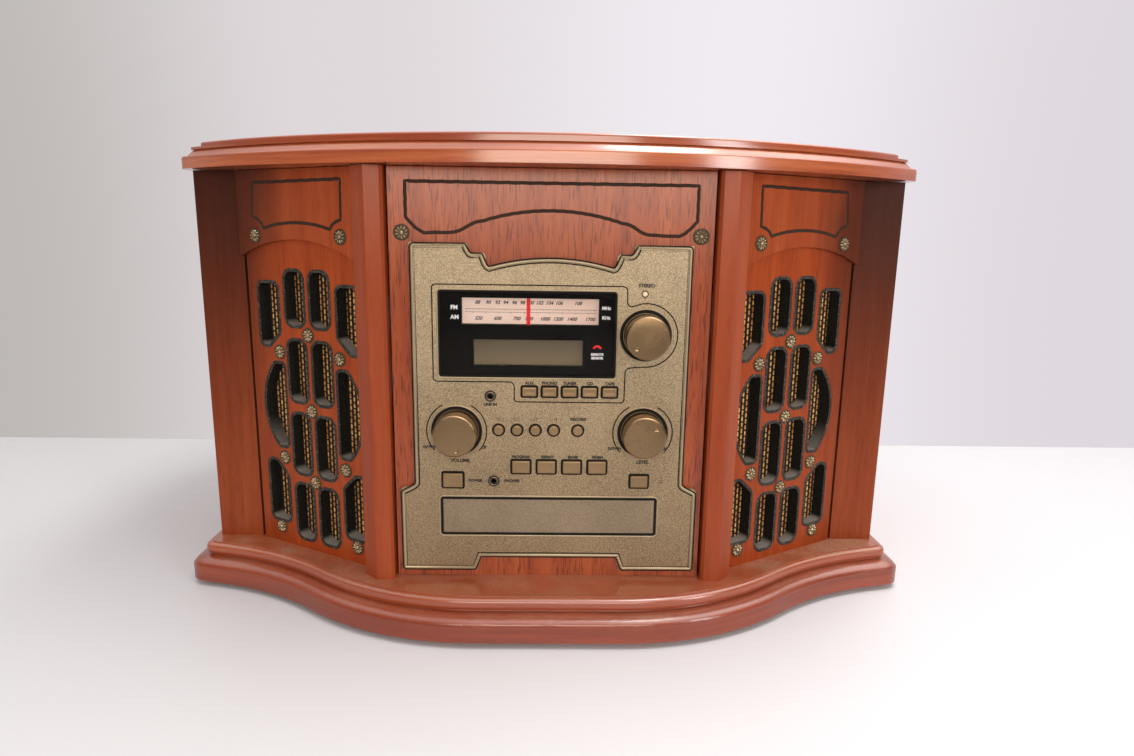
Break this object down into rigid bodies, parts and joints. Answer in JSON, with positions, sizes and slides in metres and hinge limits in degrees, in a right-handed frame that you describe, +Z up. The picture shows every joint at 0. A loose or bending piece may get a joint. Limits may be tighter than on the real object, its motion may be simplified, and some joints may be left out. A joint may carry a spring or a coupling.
{
  "type": "record player",
  "caption": "Record player in a bow-fronted wooden cabinet: hinged moulded lid over a belt-driven turntable, radio dial, disc tray, knobs, buttons and slotted speaker wings.",
  "frame": {"origin": "centre of the footprint, at the level of the table", "axes": "+X to the right seen from the front, +Y to the back, +Z up"},
  "size_m": [0.56, 0.39, 0.335],
  "materials": {
    "cherry_wood": "semi-gloss stained",
    "hardboard": "matt",
    "raw_wood": "unfinished",
    "rubber": "matt",
    "cloth": "woven",
    "antique_brass": "antiqued",
    "bronze_plastic": "metallic bronze paint",
    "bronze_button": "metallic bronze paint",
    "bronze_knob": "satin bronze",
    "window_glass": "clear",
    "printed_card": "printed",
    "lcd": "grey-green",
    "red_plastic": "gloss",
    "circuit": "laminate",
    "black_plastic": "fine texture",
    "core_steel": "plain",
    "speaker_black": "matt",
    "platter_alloy": "satin",
    "brass": "satin",
    "chrome": "polished",
    "satin_alloy": "satin"
  },
  "bodies": {
    "cabinet": {"side_panel_right": "cherry_wood", "outer_strips": "cherry_wood", "front_board": "cherry_wood", "base_moulding": "cherry_wood", "side_panel_left": "cherry_wood", "floor_board": "cherry_wood", "wing_headers": "cherry_wood", "corner_posts": "cherry_wood", "wing_grille_left": "cherry_wood", "wing_grille_right": "cherry_wood", "back_panel": "hardboard", "wood_rails": "raw_wood", "rubber_feet": "rubber", "grille_cloths": "cloth", "rosette_studs": "antique_brass", "control_panel": "bronze_plastic", "display_window": "window_glass", "dial_card": "printed_card", "lcd_module": "lcd", "control_board": "circuit", "disc_drive": "black_plastic", "power_transformer": "core_steel", "speaker_right": "speaker_black", "speaker_left": "speaker_black", "deck_plate": "black_plastic", "drive_motor": "core_steel", "drive_belt": "rubber", "arm_base": "black_plastic", "body_fittings": "brass", "jack_sockets": "black_plastic"},
    "lid": {"lid": "cherry_wood", "lid_fittings": "brass"},
    "stay_arm": {"stay_arm": "brass"},
    "platter": {"platter": "platter_alloy", "platter_mat": "rubber"},
    "motor_pulley": {"motor_pulley": "brass"},
    "arm_yoke": {"arm_yoke": "chrome"},
    "tonearm": {"tonearm": "satin_alloy"},
    "cue_lever": {"cue_lever": "black_plastic"},
    "disc_tray": {"disc_tray": "bronze_plastic"},
    "dial_pointer": {"dial_pointer": "red_plastic"},
    "function_button_1": {"function_button_1": "bronze_button"},
    "function_button_2": {"function_button_2": "bronze_button"},
    "function_button_3": {"function_button_3": "bronze_button"},
    "function_button_4": {"function_button_4": "bronze_button"},
    "function_button_5": {"function_button_5": "bronze_button"},
    "mode_button_1": {"mode_button_1": "bronze_button"},
    "mode_button_2": {"mode_button_2": "bronze_button"},
    "mode_button_3": {"mode_button_3": "bronze_button"},
    "mode_button_4": {"mode_button_4": "bronze_button"},
    "power_button": {"power_button": "bronze_button"},
    "eject_button": {"eject_button": "bronze_button"},
    "transport_button_1": {"transport_button_1": "bronze_button"},
    "transport_button_2": {"transport_button_2": "bronze_button"},
    "transport_button_3": {"transport_button_3": "bronze_button"},
    "transport_button_4": {"transport_button_4": "bronze_button"},
    "transport_button_5": {"transport_button_5": "bronze_button"},
    "tuning_knob": {"tuning_knob": "bronze_knob"},
    "volume_knob": {"volume_knob": "bronze_knob"},
    "level_knob": {"level_knob": "bronze_knob"}
  },
  "joints": [
    {"name": "lid_hinge", "type": "hinge", "parent": "cabinet", "child": "lid", "pos_m": [0, 0.1898, 0.3152], "axis": [-1, 0, 0], "range_deg": [0, 75]},
    {"name": "stay_pivot", "type": "hinge", "parent": "cabinet", "child": "stay_arm", "pos_m": [-0.2476, 0.1753, 0.3062], "axis": [-1, 0, 0], "range_deg": [0, 80]},
    {"name": "platter_spin", "type": "hinge", "parent": "cabinet", "child": "platter", "pos_m": [-0.05, 0.028, 0.28], "axis": [0, 0, -1], "continuous": true},
    {"name": "pulley_spin", "type": "hinge", "parent": "cabinet", "child": "motor_pulley", "pos_m": [-0.1292, 0.1072, 0.275], "axis": [0, 0, -1], "continuous": true},
    {"name": "arm_swing", "type": "hinge", "parent": "cabinet", "child": "arm_yoke", "pos_m": [0.118, 0.118, 0.285], "axis": [0, 0, -1], "range_deg": [0, 46]},
    {"name": "arm_lift", "type": "hinge", "parent": "arm_yoke", "child": "tonearm", "pos_m": [0.118, 0.118, 0.299], "axis": [-1, 0, 0], "range_deg": [0, 7.5]},
    {"name": "cue_lift", "type": "hinge", "parent": "cabinet", "child": "cue_lever", "pos_m": [0.16, 0.098, 0.28], "axis": [-1, 0, 0], "range_deg": [0, 50]},
    {"name": "tray_slide", "type": "slide", "parent": "cabinet", "child": "disc_tray", "axis": [0, -1, 0], "range_m": [0, 0.135]},
    {"name": "tuning_turn", "type": "hinge", "parent": "cabinet", "child": "tuning_knob", "pos_m": [0.0639, -0.16, 0.2072], "axis": [0, 1, 0], "range_deg": [-450, 450]},
    {"name": "pointer_slide", "type": "slide", "parent": "cabinet", "child": "dial_pointer", "axis": [1, 0, 0], "range_m": [-0.038, 0.038]},
    {"name": "volume_turn", "type": "hinge", "parent": "cabinet", "child": "volume_knob", "pos_m": [-0.064, -0.16, 0.1395], "axis": [0, 1, 0], "range_deg": [0, 300]},
    {"name": "level_turn", "type": "hinge", "parent": "cabinet", "child": "level_knob", "pos_m": [0.0641, -0.16, 0.1395], "axis": [0, 1, 0], "range_deg": [-210, 90]},
    {"name": "function_button_1_press", "type": "slide", "parent": "cabinet", "child": "function_button_1", "axis": [0, 1, 0], "range_m": [0, 0.001], "stiffness_N_per_m": 300, "springref_m": -0.002},
    {"name": "function_button_2_press", "type": "slide", "parent": "cabinet", "child": "function_button_2", "axis": [0, 1, 0], "range_m": [0, 0.001], "stiffness_N_per_m": 300, "springref_m": -0.002},
    {"name": "function_button_3_press", "type": "slide", "parent": "cabinet", "child": "function_button_3", "axis": [0, 1, 0], "range_m": [0, 0.001], "stiffness_N_per_m": 300, "springref_m": -0.002},
    {"name": "function_button_4_press", "type": "slide", "parent": "cabinet", "child": "function_button_4", "axis": [0, 1, 0], "range_m": [0, 0.001], "stiffness_N_per_m": 300, "springref_m": -0.002},
    {"name": "function_button_5_press", "type": "slide", "parent": "cabinet", "child": "function_button_5", "axis": [0, 1, 0], "range_m": [0, 0.001], "stiffness_N_per_m": 300, "springref_m": -0.002},
    {"name": "mode_button_1_press", "type": "slide", "parent": "cabinet", "child": "mode_button_1", "axis": [0, 1, 0], "range_m": [0, 0.001], "stiffness_N_per_m": 300, "springref_m": -0.002},
    {"name": "mode_button_2_press", "type": "slide", "parent": "cabinet", "child": "mode_button_2", "axis": [0, 1, 0], "range_m": [0, 0.001], "stiffness_N_per_m": 300, "springref_m": -0.002},
    {"name": "mode_button_3_press", "type": "slide", "parent": "cabinet", "child": "mode_button_3", "axis": [0, 1, 0], "range_m": [0, 0.001], "stiffness_N_per_m": 300, "springref_m": -0.002},
    {"name": "mode_button_4_press", "type": "slide", "parent": "cabinet", "child": "mode_button_4", "axis": [0, 1, 0], "range_m": [0, 0.001], "stiffness_N_per_m": 300, "springref_m": -0.002},
    {"name": "power_button_press", "type": "slide", "parent": "cabinet", "child": "power_button", "axis": [0, 1, 0], "range_m": [0, 0.001], "stiffness_N_per_m": 300, "springref_m": -0.002},
    {"name": "eject_button_press", "type": "slide", "parent": "cabinet", "child": "eject_button", "axis": [0, 1, 0], "range_m": [0, 0.001], "stiffness_N_per_m": 300, "springref_m": -0.002},
    {"name": "transport_button_1_press", "type": "slide", "parent": "cabinet", "child": "transport_button_1", "axis": [0, 1, 0], "range_m": [0, 0.001], "stiffness_N_per_m": 300, "springref_m": -0.002},
    {"name": "transport_button_2_press", "type": "slide", "parent": "cabinet", "child": "transport_button_2", "axis": [0, 1, 0], "range_m": [0, 0.001], "stiffness_N_per_m": 300, "springref_m": -0.002},
    {"name": "transport_button_3_press", "type": "slide", "parent": "cabinet", "child": "transport_button_3", "axis": [0, 1, 0], "range_m": [0, 0.001], "stiffness_N_per_m": 300, "springref_m": -0.002},
    {"name": "transport_button_4_press", "type": "slide", "parent": "cabinet", "child": "transport_button_4", "axis": [0, 1, 0], "range_m": [0, 0.001], "stiffness_N_per_m": 300, "springref_m": -0.002},
    {"name": "transport_button_5_press", "type": "slide", "parent": "cabinet", "child": "transport_button_5", "axis": [0, 1, 0], "range_m": [0, 0.001], "stiffness_N_per_m": 300, "springref_m": -0.002}
  ],
  "couplings": [
    {"joint": "stay_pivot", "follows": "lid_hinge", "ratio": 1.0375},
    {"joint": "pulley_spin", "follows": "platter_spin", "ratio": 14.629},
    {"joint": "pointer_slide", "follows": "tuning_turn", "m_per_rad": 0.004838},
    {"joint": "arm_lift", "follows": "cue_lift", "ratio": 0.14}
  ]
}
